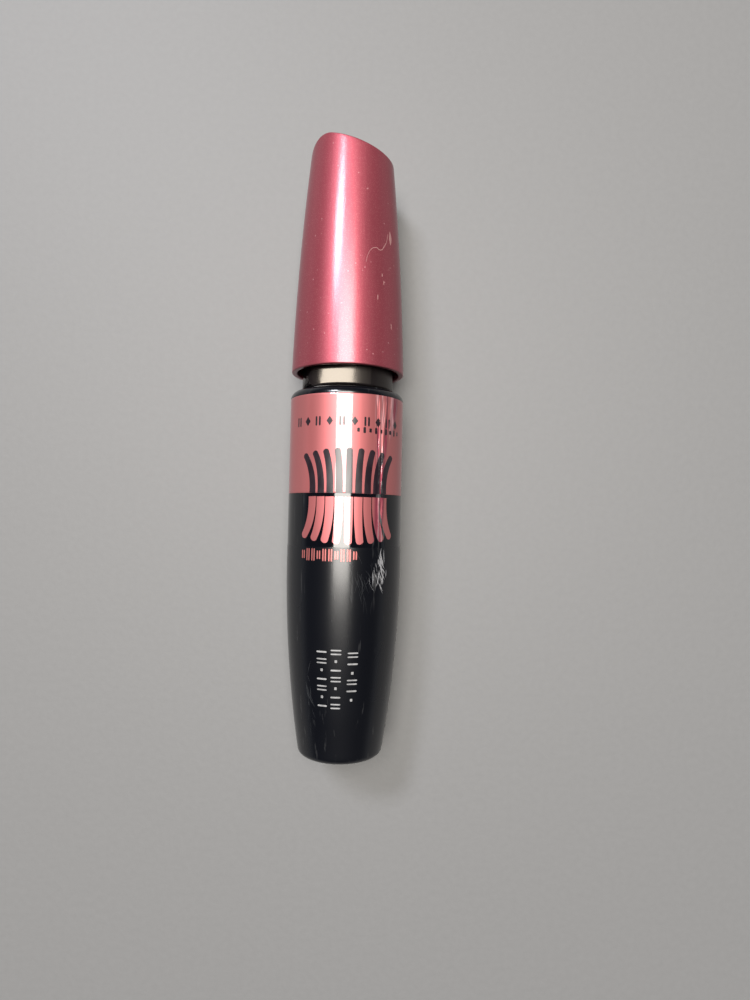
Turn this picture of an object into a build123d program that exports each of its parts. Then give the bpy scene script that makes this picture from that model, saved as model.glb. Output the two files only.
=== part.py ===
from build123d import *
import math
import os

# A closed mascara tube, lying on its side on the plane Z = 0. Millimetres.
# The tube's axis runs along +Y, from the bottle's base to the tip of the cap.
# Every profile is drawn as (r, s): r is the distance from the axis, s the height above the base.

os.makedirs("parts", exist_ok=True)

# --- driving dimensions ---------------------------------------------------------------------------

LENGTH = 102.0  # base to the highest point of the slanted cap
BODY_R = 9.5  # straight part of the bottle, and the height of the axis above the table

# bottle, outside
BASE_R = 6.85  # where the side would meet the base without its rounding
BASE_ROUND = 1.2
TAPER_END = 32.0  # the side is straight above this height
SHOULDER_ROUND = 1.4
SHOULDER_TOP = 60.0
NECK_R = 5.9
NECK_TOP = 71.0
NECK_CHAMFER = 0.35

# bottle, inside
WALL = 1.15
FLOOR = 1.6
FLOOR_R = 5.9
INSIDE_ROUND = 1.5  # rounding inside, at the floor and under the shoulder
SHOULDER_WALL = 1.4
BORE_R = 4.5

# foil band, set into the bottle's side
FOIL_START = 42.9
FOIL_END = SHOULDER_TOP - SHOULDER_ROUND
FOIL_THICKNESS = 0.1

# screw thread between the neck and the inner cap, right-handed
PITCH = 2.4
THREAD_TURNS = 1.2
THREAD_START = 63.5  # height of the neck ridge's lower end
THREAD_DEPTH = 0.65
THREAD_FOOT = 1.2  # width of a ridge at its foot
THREAD_CREST = 0.6  # width of a ridge at its crest
THREAD_ROOT_SINK = 0.1  # how far a ridge's foot reaches into the wall it stands on
THREAD_GAP = 0.2  # from a crest to the wall opposite

# wiper, pressed into the neck
WIPER_FLANGE = 0.6
WIPER_FLANGE_R = 5.5
WIPER_IN_R = 3.9
WIPER_CONE_TOP = 64.5
WIPER_BOTTOM = 59.2
ORIFICE_R = 2.35
LIP_WALL = 0.5

# stem, wire and brush
STEM_R = 2.25
STEM_BOTTOM = 33.0
STEM_TOP = 82.0
STEM_NOSE_R = 1.6
STEM_NOSE = 1.8
SNAP_HEIGHT = 79.0
SNAP_R = 2.6
SNAP_LENGTH = 1.6
WIRE_R = 0.7
WIRE_GRIP = 8.0  # length of wire held inside the stem
WIRE_TIP = 5.0
BRUSH_BOTTOM = 5.8
BRUSH_TOP = 32.2
BRUSH_R = 3.9
BRUSH_TIP_R = 1.9
BRUSH_SHOULDER_R = 2.9
BRUSH_WIDEST = 19.0

# inner cap
SKIRT_R = 7.6
SKIRT_BOTTOM = 60.25
SKIRT_ROUND = 0.42
CEILING_GAP = 0.06
CEILING = 1.5
PLUG_R = 3.7
PLUG_DEPTH = 1.4
SOCKET_R = 3.7
SOCKET_TOP = 84.0
COLLAR_BOTTOM = 70.2
RIB_BOTTOM = 65.0
RIB_COUNT = 12
RIB_WIDTH = 1.2
RIB_SINK = 0.1
PRESS = 0.05  # how far the collar and ribs bite into the cap shell

# cap shell
RIM = 63.2
RIM_R = 9.43
RIM_ROUND = 0.22
CAP_TOP_R = 6.8  # the side's radius at the full length
CAP_BOW = 0.37  # how far the side bows outwards between its ends
CAVITY_RIM_R = 8.5
CAVITY_SLOPE = 0.065
CAVITY_CLEAR = 1.5  # thickness under the slanted top
SLANT = 17.85  # degrees between the top and a square cut
SLANT_TURN = 14.7  # degrees from +X to the top's lowest point, towards +Z
CROWN_R = 4.32  # rounding on the top's high side
CROWN_START = -1.59  # where the rounding leaves the slanted plane

# paste
PASTE_GAP = 0.15
PASTE_LEVEL = 44.0
BRUSH_CLEAR = 0.3
PASTE_COAT_BOTTOM = 9.0
PASTE_COAT_TOP = 36.0
PASTE_COAT_WALL = 1.2
TIP_WELL_BOTTOM = 4.2

# --- frame ----------------------------------------------------------------------------------------

SLANT_FALL = math.tan(math.radians(SLANT))
CROWN_RISE = CROWN_R * (1 - math.cos(math.radians(SLANT)))
SLANT_AXIS_HEIGHT = LENGTH - CROWN_RISE + SLANT_FALL * CROWN_START
HELIX_START_TURN = 90  # a helix about +Y starts on the side towards +Z
BASE_POINT = (0, -LENGTH / 2, BODY_R)
TUBE_AXIS = Axis(BASE_POINT, (0, 1, 0))


def radial_section(turn):
    """The plane through the axis in which r points away from +X by a turn towards +Z, in degrees."""
    across, up = math.cos(math.radians(turn)), math.sin(math.radians(turn))
    return Plane(origin=BASE_POINT, x_dir=(across, 0, up), z_dir=(-up, 0, across))


def square_to_axis(height):
    """The plane across the tube at a height above the base."""
    return Plane(origin=(0, height - LENGTH / 2, BODY_R), x_dir=(1, 0, 0), z_dir=(0, 1, 0))


def cavity_r(height):
    """The radius of the hollow inside the cap shell."""
    return CAVITY_RIM_R - CAVITY_SLOPE * (height - RIM)


def slant_height(across):
    """The slanted top's height at a distance from the axis towards its low side."""
    return SLANT_AXIS_HEIGHT - SLANT_FALL * across


def thread_ridge(foot_r, crest_r, start):
    """A right-handed thread ridge that climbs from a height above the base."""
    with BuildPart() as ridge:
        with BuildLine():
            Helix(
                pitch=PITCH,
                height=PITCH * THREAD_TURNS,
                radius=foot_r,
                center=(0, start - LENGTH / 2, BODY_R),
                direction=(0, 1, 0),
            )
        with BuildSketch(radial_section(HELIX_START_TURN)):
            with BuildLine():
                Polyline(
                    (foot_r, start - THREAD_FOOT / 2),
                    (crest_r, start - THREAD_CREST / 2),
                    (crest_r, start + THREAD_CREST / 2),
                    (foot_r, start + THREAD_FOOT / 2),
                    close=True,
                )
            make_face()
        sweep(is_frenet=True)
    return ridge.part


# --- bottle ---------------------------------------------------------------------------------------

SHOULDER_R = BODY_R - SHOULDER_ROUND
INSIDE_R = BODY_R - WALL
CEILING_R = INSIDE_R - INSIDE_ROUND
INSIDE_TOP = SHOULDER_TOP - SHOULDER_WALL
FLOOR_Y = FLOOR - LENGTH / 2
NECK_CREST_R = NECK_R + THREAD_DEPTH

neck_thread = thread_ridge(NECK_R - THREAD_ROOT_SINK, NECK_CREST_R, THREAD_START)

with BuildPart() as bottle:
    with BuildSketch(radial_section(0)):
        with BuildLine():
            Line((0, 0), (BASE_R, 0))
            TangentArc((BODY_R, TAPER_END), (BASE_R, 0), tangent=(0, -1))
            Polyline(
                (BODY_R, TAPER_END),
                (BODY_R, FOIL_START),
                (BODY_R - FOIL_THICKNESS, FOIL_START),
                (BODY_R - FOIL_THICKNESS, FOIL_END),
                (BODY_R, FOIL_END),
            )
            TangentArc((BODY_R, FOIL_END), (SHOULDER_R, SHOULDER_TOP), tangent=(0, 1))
            Polyline(
                (SHOULDER_R, SHOULDER_TOP),
                (NECK_R, SHOULDER_TOP),
                (NECK_R, NECK_TOP - NECK_CHAMFER),
                (NECK_R - NECK_CHAMFER, NECK_TOP),
                (BORE_R, NECK_TOP),
                (BORE_R, INSIDE_TOP),
                (CEILING_R, INSIDE_TOP),
            )
            TangentArc(
                (CEILING_R, INSIDE_TOP), (INSIDE_R, INSIDE_TOP - INSIDE_ROUND), tangent=(1, 0)
            )
            Line((INSIDE_R, INSIDE_TOP - INSIDE_ROUND), (INSIDE_R, TAPER_END))
            TangentArc((INSIDE_R, TAPER_END), (FLOOR_R, FLOOR), tangent=(0, -1))
            Polyline((FLOOR_R, FLOOR), (0, FLOOR), (0, 0))
        make_face()
    revolve(axis=TUBE_AXIS)
    fillet(bottle.edges().group_by(Axis.Y)[0], BASE_ROUND)
    floor_edge = bottle.edges().filter_by_position(Axis.Y, FLOOR_Y, FLOOR_Y)
    fillet(floor_edge, INSIDE_ROUND)
    add(neck_thread)
bottle.part.label = "bottle"
export_step(bottle.part, "parts/bottle.step")

with BuildPart() as foil_band:
    with BuildSketch(square_to_axis(FOIL_START)):
        Circle(BODY_R)
        Circle(BODY_R - FOIL_THICKNESS, mode=Mode.SUBTRACT)
    extrude(amount=FOIL_END - FOIL_START)
foil_band.part.label = "foil_band"
export_step(foil_band.part, "parts/foil_band.step")

# --- wiper ----------------------------------------------------------------------------------------

WIPER_TOP = NECK_TOP + WIPER_FLANGE

with BuildPart() as wiper:
    with BuildSketch(radial_section(0)):
        with BuildLine():
            Polyline(
                (WIPER_IN_R, WIPER_TOP),
                (WIPER_FLANGE_R, WIPER_TOP),
                (WIPER_FLANGE_R, NECK_TOP),
                (BORE_R, NECK_TOP),
                (BORE_R, WIPER_CONE_TOP),
                (ORIFICE_R + LIP_WALL, WIPER_BOTTOM),
                (ORIFICE_R, WIPER_BOTTOM),
                (WIPER_IN_R, WIPER_CONE_TOP),
                close=True,
            )
        make_face()
    revolve(axis=TUBE_AXIS)
wiper.part.label = "wiper"
export_step(wiper.part, "parts/wiper.step")

# --- stem, wire and brush -------------------------------------------------------------------------

with BuildPart() as stem:
    with BuildSketch(radial_section(0)):
        with BuildLine():
            Polyline(
                (WIRE_R, STEM_BOTTOM),
                (STEM_NOSE_R, STEM_BOTTOM),
                (STEM_R, STEM_BOTTOM + STEM_NOSE),
                (STEM_R, SNAP_HEIGHT - SNAP_LENGTH / 2),
                (SNAP_R, SNAP_HEIGHT),
                (STEM_R, SNAP_HEIGHT + SNAP_LENGTH / 2),
                (STEM_R, STEM_TOP),
                (0, STEM_TOP),
                (0, STEM_BOTTOM + WIRE_GRIP),
                (WIRE_R, STEM_BOTTOM + WIRE_GRIP),
                close=True,
            )
        make_face()
    revolve(axis=TUBE_AXIS)
stem.part.label = "stem"
export_step(stem.part, "parts/stem.step")

with BuildPart() as brush_wire:
    with BuildSketch(square_to_axis(WIRE_TIP)):
        Circle(WIRE_R)
    extrude(amount=STEM_BOTTOM + WIRE_GRIP - WIRE_TIP)
    wire_ends = brush_wire.edges().filter_by(GeomType.CIRCLE)
    fillet(wire_ends.group_by(Axis.Y)[0], WIRE_R / 2)
brush_wire.part.label = "brush_wire"
export_step(brush_wire.part, "parts/brush_wire.step")

with BuildPart() as bristles:
    with BuildSketch(radial_section(0)):
        with BuildLine():
            Line((WIRE_R, BRUSH_BOTTOM), (BRUSH_TIP_R, BRUSH_BOTTOM))
            ThreePointArc(
                (BRUSH_TIP_R, BRUSH_BOTTOM), (BRUSH_R, BRUSH_WIDEST), (BRUSH_SHOULDER_R, BRUSH_TOP)
            )
            Polyline((BRUSH_SHOULDER_R, BRUSH_TOP), (WIRE_R, BRUSH_TOP), (WIRE_R, BRUSH_BOTTOM))
        make_face()
    revolve(axis=TUBE_AXIS)
bristles.part.label = "bristles"
export_step(bristles.part, "parts/bristles.step")

# --- inner cap ------------------------------------------------------------------------------------

THREAD_BORE_R = NECK_CREST_R + THREAD_GAP
CAP_CREST_R = NECK_R + THREAD_GAP
CAP_THREAD_START = THREAD_START - PITCH / 2
CEILING_BOTTOM = WIPER_TOP + CEILING_GAP
CEILING_TOP = CEILING_BOTTOM + CEILING

cap_thread = thread_ridge(THREAD_BORE_R + THREAD_ROOT_SINK, CAP_CREST_R, CAP_THREAD_START)

with BuildPart() as inner_cap:
    with BuildSketch(radial_section(0)):
        with BuildLine():
            Polyline(
                (THREAD_BORE_R, SKIRT_BOTTOM),
                (SKIRT_R, SKIRT_BOTTOM),
                (SKIRT_R, COLLAR_BOTTOM),
                (cavity_r(COLLAR_BOTTOM) + PRESS, COLLAR_BOTTOM),
                (cavity_r(CEILING_TOP) + PRESS, CEILING_TOP),
                (SOCKET_R, CEILING_TOP),
                (SOCKET_R, SOCKET_TOP),
                (0, SOCKET_TOP),
                (0, STEM_TOP),
                (STEM_R, STEM_TOP),
                (STEM_R, SNAP_HEIGHT + SNAP_LENGTH / 2),
                (SNAP_R, SNAP_HEIGHT),
                (STEM_R, SNAP_HEIGHT - SNAP_LENGTH / 2),
                (STEM_R, CEILING_BOTTOM - PLUG_DEPTH),
                (PLUG_R, CEILING_BOTTOM - PLUG_DEPTH),
                (PLUG_R, CEILING_BOTTOM),
                (THREAD_BORE_R, CEILING_BOTTOM),
                close=True,
            )
        make_face()
    revolve(axis=TUBE_AXIS)
    skirt_edges = inner_cap.edges().filter_by(GeomType.CIRCLE).group_by(Axis.Y)[0]
    fillet(skirt_edges.sort_by(SortBy.RADIUS)[-1], SKIRT_ROUND)
    for i in range(RIB_COUNT):
        with BuildSketch(radial_section(i * 360 / RIB_COUNT)):
            with BuildLine():
                Polyline(
                    (SKIRT_R - RIB_SINK, RIB_BOTTOM),
                    (cavity_r(RIB_BOTTOM) + PRESS, RIB_BOTTOM),
                    (cavity_r(COLLAR_BOTTOM) + PRESS, COLLAR_BOTTOM),
                    (SKIRT_R - RIB_SINK, COLLAR_BOTTOM),
                    close=True,
                )
            make_face()
        extrude(amount=RIB_WIDTH / 2, both=True)
    add(cap_thread)
inner_cap.part.label = "inner_cap"
export_step(inner_cap.part, "parts/inner_cap.step")

# --- cap shell ------------------------------------------------------------------------------------

CAP_WAIST_R = (RIM_R + CAP_TOP_R) / 2 + CAP_BOW
CROWN_LEAN = math.radians(SLANT)
CROWN_END = CROWN_START - CROWN_R * math.sin(CROWN_LEAN) - CROWN_R
CROWN_HEIGHT = slant_height(CROWN_START) - CROWN_R * math.cos(CROWN_LEAN)

with BuildPart() as cap_cavity:
    with BuildSketch(radial_section(0)):
        with BuildLine():
            Polyline(
                (0, RIM), (cavity_r(RIM), RIM), (cavity_r(LENGTH), LENGTH), (0, LENGTH), close=True
            )
        make_face()
    revolve(axis=TUBE_AXIS)
    with BuildSketch(radial_section(SLANT_TURN)):
        with BuildLine():
            Polyline(
                (-RIM_R, RIM),
                (RIM_R, RIM),
                (RIM_R, slant_height(RIM_R) - CAVITY_CLEAR),
                (-RIM_R, slant_height(-RIM_R) - CAVITY_CLEAR),
                close=True,
            )
        make_face()
    extrude(amount=RIM_R, both=True, mode=Mode.INTERSECT)

with BuildPart() as cap_shell:
    with BuildSketch(radial_section(0)):
        with BuildLine():
            Polyline((CAP_TOP_R, LENGTH), (0, LENGTH), (0, RIM), (RIM_R, RIM))
            ThreePointArc((RIM_R, RIM), (CAP_WAIST_R, (RIM + LENGTH) / 2), (CAP_TOP_R, LENGTH))
        make_face()
    revolve(axis=TUBE_AXIS)
    with BuildSketch(radial_section(SLANT_TURN)):
        with BuildLine():
            Polyline(
                (CROWN_END, CROWN_HEIGHT),
                (-RIM_R, CROWN_HEIGHT),
                (-RIM_R, RIM),
                (RIM_R, RIM),
                (RIM_R, slant_height(RIM_R)),
                (CROWN_START, slant_height(CROWN_START)),
            )
            TangentArc(
                (CROWN_START, slant_height(CROWN_START)),
                (CROWN_END, CROWN_HEIGHT),
                tangent=(-1, SLANT_FALL),
            )
        make_face()
    extrude(amount=RIM_R, both=True, mode=Mode.INTERSECT)
    add(cap_cavity.part, mode=Mode.SUBTRACT)
    fillet(cap_shell.edges().group_by(Axis.Y)[0], RIM_ROUND)
cap_shell.part.label = "cap_shell"
export_step(cap_shell.part, "parts/cap_shell.step")

# --- paste ----------------------------------------------------------------------------------------

COAT_IN_R = BRUSH_R + BRUSH_CLEAR
COAT_OUT_R = COAT_IN_R + PASTE_COAT_WALL
CHANNEL_R = COAT_OUT_R + BRUSH_CLEAR
PASTE_R = INSIDE_R - PASTE_GAP

with BuildPart() as brush_paste:
    with BuildSketch(square_to_axis(PASTE_COAT_BOTTOM)):
        Circle(COAT_OUT_R)
        Circle(COAT_IN_R, mode=Mode.SUBTRACT)
    extrude(amount=PASTE_COAT_TOP - PASTE_COAT_BOTTOM)
brush_paste.part.label = "brush_paste"
export_step(brush_paste.part, "parts/brush_paste.step")

with BuildPart() as mascara_paste:
    with BuildSketch(radial_section(0)):
        with BuildLine():
            Line((PASTE_R, PASTE_LEVEL), (PASTE_R, TAPER_END))
            TangentArc(
                (PASTE_R, TAPER_END), (FLOOR_R - INSIDE_ROUND / 2, FLOOR + PASTE_GAP), tangent=(0, -1)
            )
            Polyline(
                (FLOOR_R - INSIDE_ROUND / 2, FLOOR + PASTE_GAP),
                (0, FLOOR + PASTE_GAP),
                (0, TIP_WELL_BOTTOM),
                (COAT_IN_R, TIP_WELL_BOTTOM),
                (COAT_IN_R, PASTE_COAT_BOTTOM - BRUSH_CLEAR),
                (CHANNEL_R, PASTE_COAT_BOTTOM - BRUSH_CLEAR),
                (CHANNEL_R, PASTE_LEVEL),
                (PASTE_R, PASTE_LEVEL),
            )
        make_face()
    revolve(axis=TUBE_AXIS)
mascara_paste.part.label = "mascara_paste"
export_step(mascara_paste.part, "parts/mascara_paste.step")
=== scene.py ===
import math
import random

import bpy
from mathutils import Euler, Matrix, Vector
from mathutils.noise import noise


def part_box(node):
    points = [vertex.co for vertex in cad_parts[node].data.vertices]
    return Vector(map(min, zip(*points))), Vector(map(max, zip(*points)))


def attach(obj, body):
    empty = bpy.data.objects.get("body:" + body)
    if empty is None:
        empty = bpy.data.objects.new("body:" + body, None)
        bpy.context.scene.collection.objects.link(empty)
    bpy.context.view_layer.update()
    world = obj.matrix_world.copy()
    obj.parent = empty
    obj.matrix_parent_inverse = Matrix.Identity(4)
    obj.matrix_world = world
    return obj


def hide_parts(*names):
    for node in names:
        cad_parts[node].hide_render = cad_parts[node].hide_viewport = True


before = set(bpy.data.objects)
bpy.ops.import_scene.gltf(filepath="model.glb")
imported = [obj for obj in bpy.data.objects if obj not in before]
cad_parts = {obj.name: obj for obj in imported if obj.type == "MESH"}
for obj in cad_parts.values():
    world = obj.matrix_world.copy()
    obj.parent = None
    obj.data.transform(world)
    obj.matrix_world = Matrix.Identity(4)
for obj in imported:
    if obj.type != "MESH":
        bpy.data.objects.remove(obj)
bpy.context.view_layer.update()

# A mascara tube lying on its side. Sizes are in millimetres until place() turns them into metres.
# r is the distance from the tube's axis, s the height above its base, and turn the angle round
# the axis, in degrees, from the side that faces up towards +X.

MM = 0.001


def in_mm(node):
    """A CAD node's lowest and highest corners in millimetres."""
    low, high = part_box(node)
    return low / MM, high / MM


# --- sizes from the frame ---------------------------------

bottle_low, bottle_high = in_mm("bottle")
foil_low, foil_high = in_mm("foil_band")
cap_low, cap_high = in_mm("cap_shell")
liner_low, liner_high = in_mm("inner_cap")
wiper_low, wiper_high = in_mm("wiper")
stem_low, stem_high = in_mm("stem")
wire_low, wire_high = in_mm("brush_wire")
brush_low, brush_high = in_mm("bristles")
coat_low, coat_high = in_mm("brush_paste")
paste_low, paste_high = in_mm("mascara_paste")

BASE_Y = bottle_low.y
AXIS_Z = (bottle_low.z + bottle_high.z) / 2
BODY_R = bottle_high.x
NECK_TOP = bottle_high.y - BASE_Y
FOIL_START = foil_low.y - BASE_Y
FOIL_END = foil_high.y - BASE_Y
RIM = cap_low.y - BASE_Y
LENGTH = cap_high.y - BASE_Y
SKIRT_BOTTOM = liner_low.y - BASE_Y
SOCKET_TOP = liner_high.y - BASE_Y
WIPER_BOTTOM = wiper_low.y - BASE_Y
WIPER_TOP = wiper_high.y - BASE_Y
WIPER_FLANGE_R = wiper_high.x
STEM_BOTTOM = stem_low.y - BASE_Y
STEM_TOP = stem_high.y - BASE_Y
WIRE_TIP = wire_low.y - BASE_Y
WIRE_TOP = wire_high.y - BASE_Y
WIRE_R = wire_high.x
BRUSH_BOTTOM = brush_low.y - BASE_Y
BRUSH_TOP = brush_high.y - BASE_Y
BRUSH_R = brush_high.x
COAT_BOTTOM = coat_low.y - BASE_Y
COAT_TOP = coat_high.y - BASE_Y
COAT_R = coat_high.x
PASTE_BOTTOM = paste_low.y - BASE_Y
PASTE_LEVEL = paste_high.y - BASE_Y

# --- sizes of the bottle and cap --------------------------

TAPER_END = 32.0
FILM_START = 34.5  # the black film round the lower lashes starts here
TAPER_R = 194.5  # radius of the long arc from the straight side down to the base
BASE_ROUND = 1.2
SHOULDER_TOP = 60.0
SHOULDER_ROUND = SHOULDER_TOP - FOIL_END
FOIL_THICKNESS = 0.1
NECK_R = 5.9
BORE_R = 4.5
WALL = 1.15
FLOOR = 1.6
FLOOR_R = 5.9
INSIDE_TOP = 58.6
INSIDE_ROUND = 1.5  # rounding under the shoulder, inside
EDGE = 0.3  # rounding of small plastic edges

PITCH = 2.4
THREAD_TURNS = 1.2
THREAD_START = 63.5
THREAD_DEPTH = 0.65
THREAD_FOOT = 1.2
THREAD_CREST = 0.6
THREAD_FADE = 40  # degrees over which a ridge rises out of its wall
THREAD_STEP = 5  # degrees between two sections of a ridge

RIM_R = 9.43
RIM_ROUND = 0.22
CAP_TOP_R = 6.8  # the side's radius at the full length
CAP_BOW = 0.37  # how far the side bows outwards between its ends
CAVITY_RIM_R = 8.5
CAVITY_SLOPE = 0.065
CAVITY_TOP = 95.5
SLANT = 17.85  # degrees between the top and a square cut
SLANT_TURN = 90 - 14.7  # turn of the slanted top's lowest point
CROWN_R = 4.32  # rounding on the top's high side
CROWN_START = -1.59  # where the rounding leaves the slanted plane
CAP_EDGE = 0.22  # rounding between the slanted top and the side

SKIRT_R = 7.6
SKIRT_ROUND = 0.42
SKIRT_MIDDLE = SKIRT_BOTTOM + 1.5  # middle of the band seen below the rim
LINER_BORE_R = 6.75
LINER_CREST_R = 6.1
CEILING_BOTTOM = 71.66
CEILING_TOP = 73.16
COLLAR_BOTTOM = 70.2
RIB_BOTTOM = 65.0
RIB_COUNT = 12
RIB_WIDTH = 1.2
SOCKET_R = 3.7
PLUG_BOTTOM = 70.26
STEM_R = 2.25
SNAP_HEIGHT = 79.0
SNAP_R = 2.6
SNAP_LENGTH = 1.6
STEM_NOSE_R = 1.6
STEM_NOSE = 1.8
TWIST_PITCH = 2.2
STRAND_R = 0.34
WIPER_IN_R = 3.9
WIPER_CONE_TOP = 64.5
ORIFICE_R = 2.35
LIP_WALL = 0.5

PASTE_GAP = 0.3  # between the brush, the paste on it and the paste in the bottle
PASTE_FOOT_R = FLOOR_R - 0.75
CHANNEL_R = 5.7
WELL_R = 4.2
WELL_BOTTOM = 4.2
LUMP = 0.12  # how far a paste surface swells or sinks

AROUND = 192  # facets round the tube
# round the bottle, facets are finer where the foil is creased
CREASED_TURNS = [28 + 0.4 * k for k in range(90)] + [64 + 1.5 * k for k in range(216)]


# --- mesh helpers -----------------------------------------

def place(r, s, turn):
    """A point of the tube in the row frame, in metres."""
    angle = math.radians(turn)
    return Vector((r * math.sin(angle), BASE_Y + s, AXIS_Z + r * math.cos(angle))) * MM


def off_axis(r, s, turn):
    """A point of the tube in the row frame, in millimetres."""
    return place(r, s, turn) / MM


def arc(centre, radius, start, end, steps):
    """Points of a round stretch of an outline, from one angle to another in degrees."""
    points = []
    for i in range(steps + 1):
        angle = math.radians(start + (end - start) * i / steps)
        points.append((centre[0] + radius * math.cos(angle), centre[1] + radius * math.sin(angle)))
    return points


def run(start, end, steps):
    """Evenly spaced points of a straight stretch, without its first."""
    return [
        tuple(a + (b - a) * i / steps for a, b in zip(start, end)) for i in range(1, steps + 1)
    ]


def curve(start, pull, end, steps):
    """Points of a curve from start to end that leaves towards pull."""
    start, pull, end = Vector(start), Vector(pull), Vector(end)
    points = []
    for i in range(steps + 1):
        t = i / steps
        points.append(tuple(start * (1 - t) ** 2 + pull * (2 * t * (1 - t)) + end * t * t))
    return points


def new_piece(name, verts, faces, material, slot, body, replaces=(), crease=35):
    """A shaded mesh that rides on a body, takes the finish it is given and stands for CAD nodes;
    slot is not used.
    """
    mesh = bpy.data.meshes.new(name)
    mesh.from_pydata(verts, [], faces)
    mesh.validate()
    mesh.shade_smooth()
    mesh.set_sharp_from_angle(angle=math.radians(crease))
    mesh.materials.append(material)
    piece = bpy.data.objects.new(name, mesh)
    bpy.context.scene.collection.objects.link(piece)
    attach(piece, body)
    if replaces:
        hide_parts(*replaces)


def lathe(outline, around=AROUND, shape=None, turns=None):
    """Vertices and faces of a closed outline of (r, s) points turned about the axis.
    The outline runs anticlockwise with r to the right; shape may move a point's r."""
    turns = turns or [360 * k / around for k in range(around)]
    around = len(turns)
    verts, faces, rings = [], [], []
    for r, s in outline:
        first = len(verts)
        if r < 1e-6:
            verts.append(place(0, s, 0))
            rings.append([first] * around)
            continue
        for turn in turns:
            verts.append(place(shape(r, s, turn) if shape else r, s, turn))
        rings.append(list(range(first, first + around)))
    for low, high in zip(rings, rings[1:] + rings[:1]):
        for k in range(around):
            n = (k + 1) % around
            corners = []
            for v in (low[k], high[k], high[n], low[n]):
                if v not in corners:
                    corners.append(v)
            if len(corners) > 2:
                faces.append(corners)
    return verts, faces


def merged(*meshes):
    """Several (vertices, faces) as one."""
    verts, faces = [], []
    for more_verts, more_faces in meshes:
        shift = len(verts)
        verts += more_verts
        faces += [[v + shift for v in face] for face in more_faces]
    return verts, faces


def tube_along(points, radius, sides):
    """Vertices and faces of a round wire along points in millimetres.
    Radius is its size from 0 at the start to 1 at the end."""
    verts, faces = [], []
    last = len(points) - 1
    for i, point in enumerate(points):
        along = (points[min(i + 1, last)] - points[max(i - 1, 0)]).normalized()
        side = along.cross(Vector((0, 1, 0)))
        side = (side if side.length > 0.05 else along.cross(Vector((0, 0, 1)))).normalized()
        up = side.cross(along)
        for k in range(sides):
            angle = 2 * math.pi * k / sides
            offset = side * math.cos(angle) + up * math.sin(angle)
            verts.append((point + offset * radius(i / last)) * MM)
    for i in range(last):
        for k in range(sides):
            n = (k + 1) % sides
            faces.append([i * sides + k, i * sides + n, (i + 1) * sides + n, (i + 1) * sides + k])
    faces += [list(range(sides))[::-1], list(range(last * sides, last * sides + sides))]
    return verts, faces


def thread_ridge(foot_r, crest_r, start):
    """Vertices and faces of a right-handed thread ridge whose ends fade into the wall."""
    verts, faces = [], []
    total = THREAD_TURNS * 360
    steps = int(total / THREAD_STEP)
    section = [
        # (share of the ridge's height, offset along the tube)
        (0, -THREAD_FOOT / 2),
        (0.85, -THREAD_CREST / 2 - 0.08),
        (1, -THREAD_CREST / 2 + 0.1),
        (1, THREAD_CREST / 2 - 0.1),
        (0.85, THREAD_CREST / 2 + 0.08),
        (0, THREAD_FOOT / 2),
    ]
    for i in range(steps + 1):
        along = total * i / steps
        rise = min(1, min(along, total - along) / THREAD_FADE)
        rise = rise * rise * (3 - 2 * rise)
        # the ridge climbs towards +Y as it turns right-handed, from +Z through +X
        for out, offset in section:
            r = foot_r + (crest_r - foot_r) * out * rise
            verts.append(place(r, start + PITCH * along / 360 + offset * (0.4 + 0.6 * rise), along))
    n = len(section)
    for i in range(steps):
        for j in range(n):
            a, b = i * n + j, i * n + (j + 1) % n
            faces.append([a, b, b + n, a + n])
    faces += [list(range(n)), list(range(steps * n, steps * n + n))[::-1]]
    if crest_r < foot_r:
        faces = [face[::-1] for face in faces]
    return verts, faces


def tube_side_r(s):
    """The bottle's radius at a height on its side."""
    drop = max(0, TAPER_END - s)
    return BODY_R - (TAPER_R - math.sqrt(TAPER_R**2 - drop**2))


def cap_side_r(s):
    """The cap's radius at a height, on an arc bowed between its rim and the tube's full length."""
    middle, half = (RIM + LENGTH) / 2, (LENGTH - RIM) / 2
    across = (s - middle) / half
    return RIM_R + (CAP_TOP_R - RIM_R) * (s - RIM) / (LENGTH - RIM) + CAP_BOW * (1 - across**2)


def cavity_r(s):
    """The radius of the hollow in the cap shell."""
    return CAVITY_RIM_R - CAVITY_SLOPE * (s - RIM)


# --- finishes ---------------------------------------------

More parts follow.
